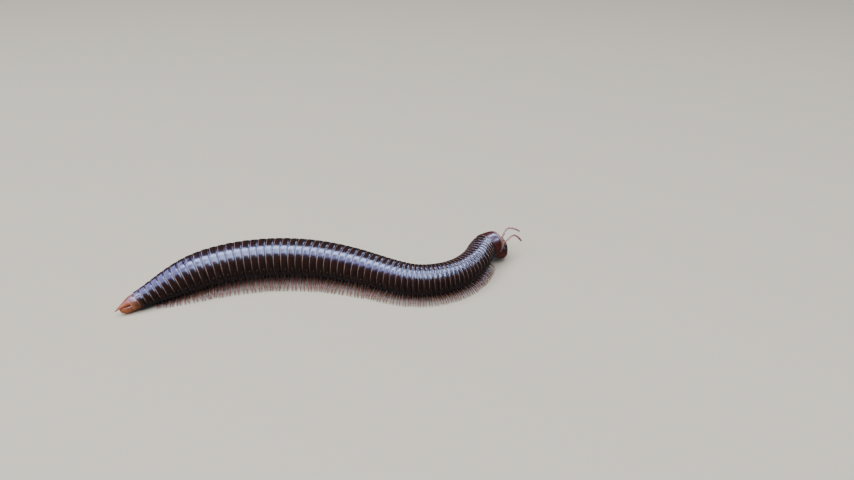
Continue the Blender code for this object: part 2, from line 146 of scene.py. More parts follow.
# Past the last section: share of its size, x forward
FACE_CLOSING_MM = ((0.93, 5.25), (0.8, 5.29), (0.6, 5.32), (0.35, 5.34), (0.12, 5.35))
HEAD_SQUARENESS = 0.85
CHIN_NARROWING = 0.2
HEAD_SIDES = 144
CHEEK_FRONT_MM, CHEEK_TOP_MM, CHEEK_INNER_MM = 3.85, -0.45, 1.35
CHIN_FRONT_MM, CHIN_EDGE_MM, CHIN_TOP_MM = 4.25, 1.12, -1.6
PLATES_FROM_MM, PLATE_BED_MM = -1.4, -0.30
EYE_MM = (1.5, 2.5, 1.5)
EYE_RADII_MM = (0.75, 0.36, 0.5)
LENS_SPACING_MM = 0.165
LENS_PROFILE_MM = ((0.082, 0.0), (0.078, 0.045), (0.052, 0.078), (0.012, 0.092))  # half width, height
SOCKET_MM = (0.8, 1.3, 2.5)
# Hollows of the feelers' sockets and the lip's notch: place, depth, reach and width of the edge
HOLLOWS_MM = ((SOCKET_MM, 0.34, 0.5, 0.3), ((5.25, 0, -0.8), 0.3, 0.32, 0.3))
# Rims of the sockets, dips round the eyes and pits of the lip: place, height, distance and width
HEAD_MARKS_MM = (
    (SOCKET_MM, 0.07, 0.84, 0.16), (EYE_MM, -0.05, 0.85, 0.12),
    ((4.75, 0.35, 0.9), -0.07, 0, 0.09), ((4.75, 1, 0.6), -0.07, 0, 0.09),
)

# Antennae: length and width of each article, and the way it points outward and up
ARTICLES_MM = (
    (0.7, 0.62), (1.35, 0.62), (1.2, 0.6), (1.2, 0.6), (1.15, 0.64), (1.1, 0.66), (0.55, 0.58), (0.25, 0.5),
)
LEFT_TURNS_DEG = ((-20, 25), (14, 42), (18, 28), (-13, -3), (-33, -12), (-43, -25), (-43, -32), (-43, -34))
RIGHT_TURNS_DEG = ((20, 22), (-2, 20), (-12, 6), (3, -10), (23, -35), (33, -50), (38, -58), (38, -60))
# Along an article: share of its length, share of its width
ARTICLE_PROFILE = (
    (0, 0.58), (0.04, 0.66), (0.14, 0.75), (0.35, 0.83), (0.62, 0.91), (0.82, 0.94), (0.93, 0.92),
    (0.985, 0.76),
)
ANTENNA_SIDES = 16
HAIRY_ARTICLES = slice(1, 7)
HAIR_PLACES = (0.35, 0.6, 0.84)
HAIRS_AROUND = 7
HAIR_OUT, HAIR_ON = 0.26, 0.97  # how a hair leans: outward and along the article
# Length and width of a hair and of a cone
HAIR_MM = (0.14, 0.022)
SENSE_CONE_MM = (0.1, 0.09)

# Tail, in a frame that faces back from TELSON_AT: x back, half width, top and bottom
TELSON_ROWS_MM = (
    (-0.5, 1.86, 1.9, -1.84), (-0.2, 1.98, 2.02, -1.96), (0.3, 2.04, 2.09, -2.02), (0.9, 2, 2.06, -1.98),
    (1.3, 1.91, 2, -1.87), (1.52, 1.82, 1.94, -1.74), (1.6, 1.72, 1.91, -1.52), (1.66, 1.63, 1.89, -1.1),
    (1.74, 1.52, 1.86, -0.5), (1.84, 1.42, 1.82, 0), (1.98, 1.32, 1.77, 0.26), (2.4, 1.16, 1.62, 0.29),
    (3, 0.95, 1.38, 0.27), (3.6, 0.74, 1.13, 0.23), (4.2, 0.53, 0.88, 0.18), (4.8, 0.35, 0.63, 0.12),
    (5.2, 0.24, 0.46, 0.08), (5.45, 0.16, 0.35, 0.08), (5.57, 0.08, 0.27, 0.11), (5.6, 0.01, 0.2, 0.18),
)
TELSON_SIDES = 64
# Centre and radii of the valves' oval and of the scale under them
VALVES_MM, VALVE_RADII_MM = (2.0, 0, -0.4), (2.4, 1.5, 1.45)
UNDER_SCALE_MM, UNDER_SCALE_RADII_MM = (1.75, 0, -1.62), (0.85, 0.8, 0.2)
VALVES_UP_TO_MM = 0.32
HALF_SLIT_MM = 0.04

# The head and tail have the collum's kind of cuticle, without its furrows
UNFURROWED = {"furrow": 0.0, "furrowed": 0.0}

# Camera, as the photograph was taken
CAMERA_AT = (0.0252203, -0.1435898, 0.0962)
CAMERA_TILT_DEG = 60
FOCAL_PX, IMAGE_WIDTH_PX = 640, 854

# Lamps that only the gloss shows, laid out so that their reflections join in one streak along the
# back: name, place, turn about the vertical, width and depth, watts and colour
GLOSS_PANELS = (
    ("right_far", (0.27, 0.47, 0.55), 39, (0.2, 0.18), 2.4, "#B4C8FF"),
    ("right", (0.32, 0.06, 0.55), 33, (0.3, 0.25), 6.4, "#B4C8FF"),
    ("right_near", (0.3, -0.36, 0.55), 17, (0.4, 0.42), 12.5, "#B4C8FF"),
    ("middle", (-0.15, 0.0, 0.55), 0, (0.35, 0.19), 7.4, "#B4C8FF"),
    ("near", (0.01, -0.26, 0.55), 0, (0.26, 0.3), 5.0, "#B4C8FF"),
    ("tail", (-0.58, 0.1, 0.56), 27, (0.42, 1.26), 16.0, "#A2ABFF"),
    ("neck", (0.62, 0.66, 0.56), 0, (0.66, 0.2), 10.5, "#C4D2FF"),
    ("collum", (0.84, 0.2, 0.55), -24, (0.34, 0.12), 4.2, "#C4D2FF"),
)


def smooth_curve(table, at):
    """The table's values at these distances, averaged over SMOOTHING."""
    places, values = np.array(table, float).T
    count = round(SMOOTHING / LINE_STEP) | 1
    padded = np.pad(np.interp(at / MM, places, values), count // 2, mode="reflect", reflect_type="odd")
    return np.convolve(padded, np.full(count, 1 / count), mode="valid")


def xyz(x, y, z):
    """Vectors with these coordinates."""
    return np.stack([x, y, z], axis=-1)


def headed(turn, climb):
    """The way forward at this turn and climb, and the level way to its left."""
    forward = xyz(np.cos(turn) * np.cos(climb), np.sin(turn) * np.cos(climb), np.sin(climb))
    return forward, xyz(-np.sin(turn), np.cos(turn), 0 * turn)


def body_line():
    """Distances behind the collum's front, and the centre, heading, climb and radius at each.

    The climb is -asin(dz / ds), and x and y are the front's less the sum of d ds from it.
    """
    back = np.arange(0, LINE_LENGTH, LINE_STEP)
    heading = np.radians(smooth_curve(HEADINGS_DEG, back))
    height = smooth_curve(HEIGHTS_MM, back) * MM
    climb = -np.arcsin(np.gradient(height, LINE_STEP))
    run = np.cumsum(headed(heading, climb)[0][:, :2] * LINE_STEP, axis=0)
    place = np.array(COLLUM_FRONT) - np.concatenate([np.zeros((1, 2)), run[:-1]])
    radius = smooth_curve(DIAMETERS_MM, back) * MM / 2
    return back, np.column_stack([place, height, heading, climb, radius])


LINE_BACK, LINE_VALUES = body_line()


def line_at(back):
    """Centres, forward, left and up vectors, and radii, of the body at an array of distances."""
    x, y, z, heading, climb, radius = (np.interp(back, LINE_BACK, column) for column in LINE_VALUES.T)
    forward, left = headed(heading, climb)
    return xyz(x, y, z), forward, left, np.cross(forward, left), radius


def on_body(back, angle, share, stiff_at):
    """Points on the round body: c + f d + r s (1 - k max(0, -sin a)^6) (l cos a + u sin a).

    The distance, angle and share are arrays of one shape. The points keep to the straight axis of
    the body at stiff_at, as one hard ring does, with the radius of their own distance.
    """
    radius = line_at(back)[4]
    centre, forward, left, up, _ = line_at(stiff_at)
    centre = centre + forward * (stiff_at - back)[..., None]
    reach = radius * share * (1 - BELLY_FLATTENING * np.maximum(0, -np.sin(angle)) ** 6)
    return centre + left * (reach * np.cos(angle))[..., None] + up * (reach * np.sin(angle))[..., None]


def rise_of(angle):
    """Quarter turns up from the horizontal: -1 at the belly, 0 at mid-height, 1 on the back."""
    return np.arcsin(np.clip(np.sin(angle), -1, 1)) * 2 / math.pi


def curve_through(table, at):
    """A smooth curve through the table's rows, at values of its first column.

    Each piece is the cubic with its end rows' values, and slopes worked out from the rows beside them.
    """
    table = np.array(table, float)
    places, values = table[:, 0], table[:, 1:]
    slopes = np.gradient(values, places, axis=0)
    at = np.asarray(at, float)
    start = np.clip(np.searchsorted(places, at, side="right") - 1, 0, len(places) - 2)
    width = (places[start + 1] - places[start])[..., None]
    s = (at - places[start])[..., None] / width
    return (
        (2 * s**3 - 3 * s**2 + 1) * values[start] + (s**3 - 2 * s**2 + s) * width * slopes[start]
        + (3 * s**2 - 2 * s**3) * values[start + 1] + (s**3 - s**2) * width * slopes[start + 1]
    )


def ramp_up(values, middle, width):
    """0 below the middle, 1 above it, turning over smoothly across this width: 3t^2 - 2t^3."""
    t = np.clip((values - middle) / width + 0.5, 0, 1)
    return t * t * (3 - 2 * t)


def bell(values, middle, width):
    """1 at the middle and falling away on both sides: exp(-((v - m) / w)^2)."""
    return np.exp(-(((values - middle) / width) ** 2))


def soft_positive(values, softness):
    """max(0, v) with its corner rounded: (v + sqrt(v^2 + s^2)) / 2."""
    return (values + np.sqrt(values * values + softness**2)) / 2


def unit(vectors):
    """Each vector divided by its length."""
    return vectors / np.linalg.norm(vectors, axis=-1, keepdims=True)


def angles_round(count, offset=0.0):
    """Angles spread evenly round a circle: 2 pi (k + offset) / n."""
    return 2 * math.pi * (np.arange(count) + offset) / count


def ways_round(beside, over, angles):
    """The ways out from an axis at these angles, by two vectors square to it: s cos t + u sin t."""
    return beside[..., None, :] * np.cos(angles)[..., None] + over[..., None, :] * np.sin(angles)[..., None]


def ring_edges():
    """Where each ring begins and ends: where the integral of 1 / pitch is k / RINGS of its whole."""
    fine = np.linspace(COLLUM_LENGTH, TELSON_AT, 600)
    places, pitches = np.array(PITCHES_MM, float).T
    rate = 1 / np.interp(fine / MM, places, pitches)
    count = np.concatenate([[0], np.cumsum((rate[1:] + rate[:-1]) / 2)])
    return np.interp(np.arange(RINGS + 1) * count[-1] / RINGS, count, fine)


def front_place():
    """The frame of the collum's front plane, on the collum's own straight axis."""
    origin, forward, left, up, _ = line_at(COLLUM_LENGTH / 2)
    return origin + forward * COLLUM_LENGTH / 2, np.array([forward, left, up])


def head_place():
    """The front frame, turned by HEAD_YAW and bent down by HEAD_PITCH about HEAD_AT."""
    origin, axes = front_place()
    across, along = math.sin(HEAD_YAW), math.cos(HEAD_YAW)
    down, level = math.sin(HEAD_PITCH), math.cos(HEAD_PITCH)
    yaw = np.array([[along, across, 0], [-across, along, 0], [0, 0, 1]])
    pitch = np.array([[level, 0, -down], [0, 1, 0], [down, 0, level]])
    return origin + np.array(HEAD_AT_MM) * MM @ axes, pitch @ yaw @ axes


def tail_place():
    """A frame at the end of the rings, facing back."""
    origin, forward, left, up, _ = line_at(TELSON_AT)
    return origin, np.array([-forward, -left, up])


def to_room(points_mm, place):
    """Points in millimetres in a frame, as points in the room in metres."""
    origin, axes = place
    return origin + np.asarray(points_mm, float) * MM @ axes


def grid_faces(rows, columns, wrap_rows=False):
    """Quads over a grid of points whose columns close on themselves."""
    row = np.arange(rows if wrap_rows else rows - 1)[:, None]
    column = np.arange(columns)[None, :]
    here, after = row * columns, (row + 1) % rows * columns
    turned = (column + 1) % columns
    corners = (here + column, here + turned, after + turned, after + column)
    return np.stack(np.broadcast_arrays(*corners), axis=-1).reshape(-1, 4)


def put_in_scene(name, data):
    """A new object of this data, at the origin."""
    made = bpy.data.objects.new(name, data)
    bpy.context.scene.collection.objects.link(made)
    return made


class Shape:
    """Closed surfaces gathered into one mesh, with named numbers at every point."""

    def __init__(self):
        self.points, self.faces, self.numbers, self.count = [], [], {}, 0

    def add(self, points, faces, **numbers):
        """A surface; each number is an array that spreads over the points' own axes."""
        self.faces += (np.asarray(faces) + self.count).tolist()
        for key, values in numbers.items():
            self.numbers.setdefault(key, []).append(np.broadcast_to(values, points.shape[:-1]).ravel())
        self.points.append(points.reshape(-1, 3))
        self.count += points.size // 3
        return self

    def tubes(self, points, **numbers):
        """Rows of points around each tube, closed by flat ends; axes before the last three count tubes."""
        rows, columns = points.shape[-3:-1]
        starts = np.arange(points[..., 0].size // (rows * columns))[:, None, None] * (rows * columns)
        ends = np.stack([np.arange(columns)[::-1], (rows - 1) * columns + np.arange(columns)])
        caps = (ends + starts).reshape(-1, columns) + self.count
        self.add(points, (grid_faces(rows, columns) + starts).reshape(-1, 4), **numbers)
        self.faces += caps.tolist()
        return self

    def plate(self, outer, inner, **numbers):
        """Two open grids of the same shape, joined round their edges into a closed plate."""
        number = np.arange(outer[..., 0].size).reshape(outer.shape[:2])
        quads = np.stack([number[:-1, :-1], number[:-1, 1:], number[1:, 1:], number[1:, :-1]], axis=-1)
        quads = quads.reshape(-1, 4)
        rim = np.concatenate([number[0], number[1:, -1], number[-1, -2::-1], number[-2:0:-1, 0]])
        after = np.roll(rim, -1)
        joined = np.stack([rim, rim + number.size, after + number.size, after], axis=-1)
        faces = np.concatenate([quads, quads[:, ::-1] + number.size, joined])
        return self.add(np.stack([outer, inner]), faces, **numbers)

    def piece(self, name, material, slot, *replaces):
        """The object: smooth, facing outward, riding on the body."""
        mesh = bpy.data.meshes.new(name)
        mesh.from_pydata(np.concatenate(self.points).tolist(), [], self.faces)
        for key, columns in self.numbers.items():
            layer = mesh.attributes.new(key, "FLOAT", "POINT")
            layer.data.foreach_set("value", np.concatenate(columns).astype(np.float32))
        work = bmesh.new()
        work.from_mesh(mesh)
        bmesh.ops.recalc_face_normals(work, faces=work.faces)
        work.to_mesh(mesh)
        work.free()
        mesh.shade_smooth()
        mesh.materials.append(material)
        made = put_in_scene(name, mesh)
        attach(made, "root")
        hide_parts(*replaces)


def srgb(code):
    """A hexadecimal sRGB colour as the linear colour that shaders take."""
    parts = np.array([int(code[k : k + 2], 16) for k in (1, 3, 5)]) / 255
    linear = np.where(parts <= 0.04045, parts / 12.92, ((parts + 0.055) / 1.055) ** 2.4)
    return (*linear, 1.0)


def add(tree, kind, inputs=(), out=0, stops=(), **settings):
    """Adds a node with its settings, the stops of its colour band, and its inputs' links or values."""
    node = tree.nodes.new("ShaderNode" + kind)
    for key, value in settings.items():
        setattr(node, key, value)
    for number, (place, tone) in enumerate(stops):
        band = node.color_ramp
        stop = band.elements[number] if number < 2 else band.elements.new(place)
        stop.position = place
        stop.color = srgb(tone) if isinstance(tone, str) else (tone, tone, tone, 1)
    for key, value in inputs.items() if isinstance(inputs, dict) else enumerate(inputs):
        if isinstance(value, bpy.types.NodeSocket):
            tree.links.new(value, node.inputs[key])
        else:
            node.inputs[key].default_value = value
    return node.outputs[out]


def new_material(name, numbers=(), patterns=(), **fixed):
    """A material, what adds its nodes, the surface's own numbers, and noise patterns.

    Each pattern is given by its size in millimetres and its detail, in the object's coordinates.
    """
    made = bpy.data.materials.new(name)
    made.use_nodes = True
    tree = made.node_tree
    main = tree.nodes["Principled BSDF"].inputs
    for key, value in fixed.items():
        main[key.replace("_", " ")].default_value = value
    node = functools.partial(add, tree)
    where = node("TexCoord", out="Object")
    read = [node("Attribute", attribute_name=number, out="Fac") for number in numbers]
    noise = [
        node("TexNoise", {"Vector": where, "Scale": 1 / (size * MM), "Detail": detail})
        for size, detail in patterns
    ]
    return made, node, *read, *noise


def mottled(node, shade, pattern, dark, light):
    """The colour, made darker and lighter by a pattern."""
    tones = node("ValToRGB", (pattern,), stops=((0.3, dark), (0.7, light)))
    return node("Mix", {0: 1.0, 6: shade, 7: tones}, 2, data_type="RGBA", blend_type="MULTIPLY")


def ridges(node, number, rate, sharpness, mask):
    """Parallel ridges: (1/2 + sin(rate x) / 2)^sharpness, times the mask."""
    wave = node("Math", (number, rate), operation="MULTIPLY")
    wave = node("Math", (wave,), operation="SINE")
    wave = node("Math", (wave, 0.5, 0.5), operation="MULTIPLY_ADD")
    wave = node("Math", (wave, sharpness), operation="POWER")
    return node("Math", (wave, mask), operation="MULTIPLY")


def set_surface(made, node, shade, roughness, covers=(), relief=()):
    """Gives a material its colour, roughness and relief, and returns it.

    A cover is a share and the colour that hides so much of the one beneath; a layer of relief is a
    pattern and its depth in millimetres.
    """
    for share, tone in covers:
        shade = node("Mix", {0: share, 6: shade, 7: tone}, 2, data_type="RGBA")
    links = {"Base Color": shade, "Roughness": roughness}
    under = {}
    for pattern, depth in relief:
        under = {"Normal": node("Bump", {"Height": pattern, "Distance": depth * MM, **under})}
    for key, value in (links | under).items():
        made.node_tree.links.new(value, made.node_tree.nodes["Principled BSDF"].inputs[key])
    return made


def ring_cuticle():
    """Limy cuticle of the rings, hard and polished: plum-brown above, near black on the flanks.

    Its polish draws the lamps out into one bright streak over a dark body. The cuticle is dark brown;
    the plum above is a painted reflection and the black low on the flanks is painted shade. Each ring
    has a smooth collar and a black suture, both darkened partly by painted shade in the recess and the
    groove, a plate, and a thin pale hind margin, made pinkish above by a painted highlight and fading
    down the flanks; the last rings turn tan, and the stink pores are small pits with a pale rim.
    """
    # Grain finer than the last pattern would be lost between the photograph's pixels
    made, node, along, rise, aft, poreless, coarse, middle, fine, grain = new_material(
        "ring_cuticle", ("along", "rise", "aft", "poreless"),
        ((1.3, 4.0), (0.6, 2.0), (0.3, 4.0), (0.09, 2.0)), IOR=1.55,
    )
    upward = node("Math", (rise, 0.5, 0.5), operation="MULTIPLY_ADD")

    # Plate colour by height: dark brown, with painted shade low on the flanks and a painted plum
    # reflection above; darkened at the collar and suture, and mottled
    plate = node("ValToRGB", (upward,), stops=(
        (0, "#21170E"), (0.18, "#1A110C"), (0.4, "#20130E"),
        (0.6, "#281611"), (0.8, "#2A1614"), (1, "#2C1817"),
    ))
    # The collar and the suture are darkened: partly their own dark colour, partly painted shade in the
    # recess under the ring before and in the suture's groove
    collar = node("ValToRGB", (along,), stops=(
        (0, 0.7), (0.12, 0.75), (0.15, 0.3), (0.175, 0.3), (0.22, 0.8), (0.5, 1), (0.85, 1.1), (1, 0.9),
    ))
    shade = node("Mix", {0: 1.0, 6: plate, 7: collar}, 2, data_type="RGBA", blend_type="MULTIPLY")
    shade = mottled(node, shade, coarse, 0.72, 1.25)

    # The hind margin, worn here and there: its own pale colour, made pinkish-white towards the top by a
    # painted highlight, and fading out down the flanks
    margin = node("ValToRGB", (along,), stops=((0, 0), (0.90, 0), (0.925, 0.9), (0.985, 1), (1, 0.6)))
    height = node("ValToRGB", (upward,), stops=((0, 0), (0.16, 0.08), (0.34, 0.52), (0.6, 0.85), (1, 0.8)))
    worn = node("ValToRGB", (middle,), stops=((0.3, 0.5), (0.65, 1)))
    for share in (height, worn):
        margin = node("Math", (margin, share), operation="MULTIPLY")
    pale = node("ValToRGB", (upward,), stops=(
        (0.2, "#33221C"), (0.45, "#5E453E"), (0.7, "#B69A94"), (1, "#A0827C"),
    ))

    # How far each point is from the ring's stink pore, and the pore's pale rim
    over = node("Math", (rise, QUARTER_TURN, -QUARTER_TURN * PORE_RISE), operation="MULTIPLY_ADD")
    beside = node("Math", (along, PORE_ALONG), operation="SUBTRACT")
    over = node("Math", (over, over), operation="MULTIPLY")
    apart = node("Math", (beside, beside, over), operation="MULTIPLY_ADD")
    apart = node("Math", (apart,), operation="SQRT")
    apart = node("Math", (apart, poreless), operation="ADD")
    rim = node("ValToRGB", (apart,), stops=((0, 0), (0.025, 0), (0.04, 0.8), (0.055, 0.8), (0.075, 0)))

    # Gloss: duller in the suture, on the margin and towards the belly, and spread by SPREAD all over
    gloss = node("ValToRGB", (along,), stops=(
        (0, 0.28), (0.12, 0.28), (0.16, 0.40), (0.21, 0.27),
        (0.28, 0.23), (0.9, 0.23), (0.95, 0.32), (1, 0.34),
    ))
    rub = node("ValToRGB", (fine,), stops=((0.25, 0.85), (0.75, 1.25)))
    low = node("ValToRGB", (upward,), stops=((0, 1), (0.3, 0.9), (0.45, 0.6), (0.6, 0.5)))
    for share in (rub, low, SPREAD):
        gloss = node("Math", (gloss, share), operation="MULTIPLY")

    # Lengthwise striae low on the plates, hoops on the collar, and the pore's pit
    flank = node("ValToRGB", (upward,), stops=((0, 1), (0.35, 0.8), (0.44, 0)))
    on_plate = node("ValToRGB", (along,), stops=((0.2, 0), (0.26, 1), (0.9, 1), (0.93, 0)))
    lined = node("Math", (flank, on_plate), operation="MULTIPLY")
    striae = ridges(node, rise, STRIAE, 3.0, lined)
    hoops = node("Math", (along, HOOPS), operation="MULTIPLY")
    hoops = node("Math", (hoops,), operation="SINE")
    on_collar = node("ValToRGB", (along,), stops=((0, 1), (0.12, 1), (0.15, 0)))
    hoops = node("Math", (hoops, on_collar), operation="MULTIPLY")
    pit = node("ValToRGB", (apart,), stops=((0, 0), (0.03, 0), (0.05, 1)))

    covers = ((aft, srgb("#7A4A34")), (margin, pale), (rim, srgb("#9A7A5C")))
    relief = ((grain, 0.0016), (coarse, 0.006), (striae, -0.02), (hoops, 0.003), (pit, 0.03))
    return set_surface(made, node, shade, gloss, covers, relief)


def head_cuticle(name, stops, edge, roughness):
    """Smooth cuticle of the head and tail ends: brick red to orange-brown, with pale worn edges.

    Thinner than the rings' and less dark, it shows its own warm colour beside the streak.
    """
    made, node, tone, rim, furrow, furrowed, coarse, fine, grain = new_material(
        name, ("tone", "rim", "furrow", "furrowed"), ((0.9, 4.0), (0.3, 4.0), (0.08, 2.0)), IOR=1.55,
    )
    shade = mottled(node, node("ValToRGB", (tone,), stops=stops), coarse, 0.78, 1.22)
    rub = node("ValToRGB", (fine,), stops=((0.25, 0.8 * roughness), (0.75, 1.35 * roughness)))
    furrows = ridges(node, furrow, 2 * math.pi, 6.0, furrowed)
    relief = ((grain, 0.0016), (coarse, 0.014), (furrows, -0.03))
    return set_surface(made, node, shade, rub, ((rim, srgb(edge)),), relief)


def limb_cuticle(name, stops, pale, roughness):
    """Thin cuticle of legs and feelers: reddish, paler in the soft skin of the joints.

    It lets a little light through, so thin parts don't look like painted wire.
    """
    made, node, along, joint, coarse, fine = new_material(
        name, ("along", "pale"), ((0.6, 3.0), (0.12, 2.0)),
        IOR=1.5, Subsurface_Weight=0.12, Subsurface_Scale=0.3 * MM,
    )
    shade = mottled(node, node("ValToRGB", (along,), stops=stops), coarse, 0.75, 1.2)
    joint = node("Math", (joint, 0.8), operation="MULTIPLY")
    rub = node("ValToRGB", (coarse,), stops=((0.3, 0.85 * roughness), (0.7, 1.2 * roughness)))
    return set_surface(made, node, shade, rub, ((joint, srgb(pale)),), ((fine, 0.004),))


def horn(name, root, tip, roughness):
    """Hard horn of claws, hairs and eyes, of one colour at its root and another at its tip.

    Dark and bare, it gives claws and lenses a hard small glint.
    """
    made, node, along, fine = new_material(name, ("along",), ((0.2, 2.0),), IOR=1.56)
    shade = node("ValToRGB", (along,), stops=((0, root), (1, tip)))
    rub = node("ValToRGB", (fine,), stops=((0.3, 0.8 * roughness), (0.7, 1.2 * roughness)))
    return set_surface(made, node, shade, rub)


def rings(material, edges):
    """Each trunk length as its rings, every one a stiff closed sleeve.

    Points are on_body by RING_PROFILE's shares of length and radius, less the dome: d ((s - m) / h)^2
    with s the share of length, and m and h the plate's middle and half length.
    """
    profile = np.array(RING_PROFILE)
    angle, share_along = np.meshgrid(angles_round(RING_SIDES), profile[:, 0])
    share_out = np.broadcast_to(profile[:, 1:], angle.shape)
    within = np.arange(len(profile)) > profile[:, 0].argmax()
    middle, half = (1 + PLATE_FROM) / 2, (1 - PLATE_FROM) / 2
    drop = ((np.clip(profile[:, 0], PLATE_FROM, 1) - middle) / half) ** 2
    drop = np.where(within, 1.0, drop)[:, None]
    faces = grid_faces(*angle.shape, wrap_rows=True)
    for number in range(RINGS // RINGS_IN_A_LENGTH):
        shape = Shape()
        for ring in range(number * RINGS_IN_A_LENGTH, (number + 1) * RINGS_IN_A_LENGTH):
            front, rear = edges[ring], edges[ring + 1]
            back = front + (rear - front) * share_along
            dome = BEND_DOME * bell((front + rear) / 2, BEND_AT, BEND_REACH)
            points = on_body(back, angle, share_out - dome * drop, (front + rear) / 2)
            shape.add(
                points, faces, along=np.clip(share_along, 0, 1), rise=rise_of(angle),
                poreless=float(ring < FIRST_PORED_RING), aft=0.8 * ramp_up(back, TELSON_AT, TAN_RINGS),
            )
        shape.piece(f"rings_{number + 1}", material, "shell", f"trunk_{number + 1}")


def leg_paths(back, side, number, ring_length):
    """The points that legs go through, as in the part's source: root, hip, knee and foot of each.

    Hip, knee and foot stand at o r out from the line, and at h b over the floor, with r the radius
    and b the belly's height; the foot and half as much the knee swing by s r t sin(p) along the line,
    and rise with max(0, cos(p) - c), where p grows from leg to leg.
    """
    centre, forward, left, up, radius = line_at(back)
    along = unit(forward * (1, 1, 0))
    reach, out = radius[:, None], left * side[:, None]
    belly = (centre[:, 2:] - reach) * (0, 0, 1)
    ground, under = centre * (1, 1, 0), (centre - up * reach) * (1, 1, 0)
    phase = 2 * math.pi * number[:, None] / LEGS_IN_A_WAVE
    thin = np.minimum(np.minimum(1, radius / FULL_LEG_RADIUS), ring_length / FULL_LEG_RING)
    swing = along * SWING * reach * thin[:, None] * np.sin(phase)
    lift = np.maximum(0, np.cos(phase) - LIFT_FROM) * (0, 0, LIFT / (1 - LIFT_FROM))
    path = np.stack([
        centre + out * (ROOT_OUT * reach) - up * (ROOT_DOWN * reach),
        under + HIP_HEIGHT * belly + out * (HIP_OUT * reach),
        ground + KNEE_HEIGHT * belly + out * (KNEE_OUT * reach) + swing * KNEE_SWING + lift,
        ground + out * (FOOT_OUT * reach) + swing + lift,
    ], axis=1)
    return path, along, thin


def bent(path, shares):
    """Points at shares of each path's length, each the weighted mean of seven nearby.

    A distance a along a path lies at p0 + sum over its legs k of clip((a - s_k) / l_k, 0, 1) d_k,
    with s_k the distance where leg k starts, l_k its length and d_k its vector.
    """
    steps = np.diff(path, axis=1)
    lengths = np.linalg.norm(steps, axis=2)
    starts = np.cumsum(lengths, axis=1) - lengths
    offsets = np.linspace(-1, 1, 7)
    weights = 1 - 0.85 * np.abs(offsets)
    room = np.minimum(1, np.minimum(shares, 1 - shares) / LEG_BEND)[:, None]
    at = (shares[:, None] + offsets * LEG_BEND * room) * lengths.sum(axis=1)[:, None, None]
    parts = np.clip((at[..., None] - starts[:, None, None]) / lengths[:, None, None], 0, 1)
    spots = path[:, None, None, 0] + np.einsum("nrok,nkx->nrox", parts, steps)
    return np.einsum("nrox,o->nrx", spots, weights / weights.sum())


def limb_tubes(path, along, size, rows, sides):
    """Tubes of rows (share, width) round the bent paths: p + w/2 (a cos t + b sin t)."""
    spots = bent(path, rows[:, 0])
    run = np.gradient(spots, axis=1)
    over = unit(np.cross(along[:, None], run))
    half = rows[:, 1, None, None] * MM * size[:, None, None, None] / 2
    points = spots[:, :, None] + half * ways_round(along[:, None], over, angles_round(sides, 0.5))
    points[..., 2] = np.maximum(points[..., 2], 0)
    return points


def legs(skin, claw, edges):
    """The walking legs of each trunk length: six parts each, narrowed at the joints, and a claw."""
    rows, claw_rows = np.array(LEG_ROWS), np.array(CLAW_ROWS)
    for number in range(RINGS // RINGS_IN_A_LENGTH):
        first = number * RINGS_IN_A_LENGTH
        ring, second, side = np.array([
            (ring, second, side)
            for ring in range(first, min(first + RINGS_IN_A_LENGTH, RINGS - LEGLESS_RINGS))
            for second in ((1,) if ring < SINGLE_PAIR_RINGS else (0, 1)) for side in (1, -1)
        ]).T
        ring_length = edges[ring + 1] - edges[ring]
        back = edges[ring] + ring_length * np.array(LEGS_IN_A_RING)[second]
        path, along, size = leg_paths(back, side, 2 * ring + second, ring_length)
        limbs, claws = Shape(), Shape()
        limbs.tubes(limb_tubes(path, along, size, rows, LEG_SIDES), pale=rows[:, 2:], along=rows[:, :1])
        points = limb_tubes(path, along, size, claw_rows, CLAW_SIDES)
        claws.tubes(points, along=np.linspace(0, 1, len(claw_rows))[:, None])
        limbs.piece(f"legs_{number + 1}", skin, "limb", f"trunk_{number + 1}")
        claws.piece(f"claws_{number + 1}", claw, "limb", f"trunk_{number + 1}")


def collum(material):
    """The shield behind the head: its front margin slants back on the flanks, a rim runs all round.

    Points are on_body at the margin plus e q + s (l - E q), with e and s from COLLUM_PROFILE, l the
    length behind the margin, E COLLUM_EDGES_MM and q = min(1, l / 2E).
    """
    profile = np.array(COLLUM_PROFILE)
    angle = np.broadcast_to(angles_round(COLLUM_SIDES), (len(profile), COLLUM_SIDES))
    height = line_at(0.0)[4] / MM * np.sin(angle)
    margin = -curve_through(COLLUM_MARGIN_MM, height)[..., 0]
    length = COLLUM_LENGTH / MM - margin
    squeeze = np.minimum(1, length / (2 * COLLUM_EDGES_MM))
    from_front = profile[:, :1] * squeeze + profile[:, 1:2] * (length - COLLUM_EDGES_MM * squeeze)
    share = np.broadcast_to(profile[:, 2:], angle.shape)
    points = on_body((margin + from_front) * MM, angle, share, COLLUM_LENGTH / 2)
    rise = rise_of(angle)
    to_back = length - from_front
    rim = np.maximum(bell(from_front, 0.1, 0.2), 0.6 * bell(from_front, 0.75, 0.2))
    rim = np.maximum(rim, 0.5 * bell(to_back, 0.0, 0.12) * ramp_up(rise, -0.3, 0.5))
    Shape().add(
        points, grid_faces(*angle.shape, wrap_rows=True), rim=0.8 * rim, tone=0.5 + 0.5 * rise,
        furrow=from_front / FURROW_SPACING_MM, furrowed=1 - ramp_up(rise, -0.12, 0.3),
    ).piece("collum_shield", material, "head_shell", "collum")


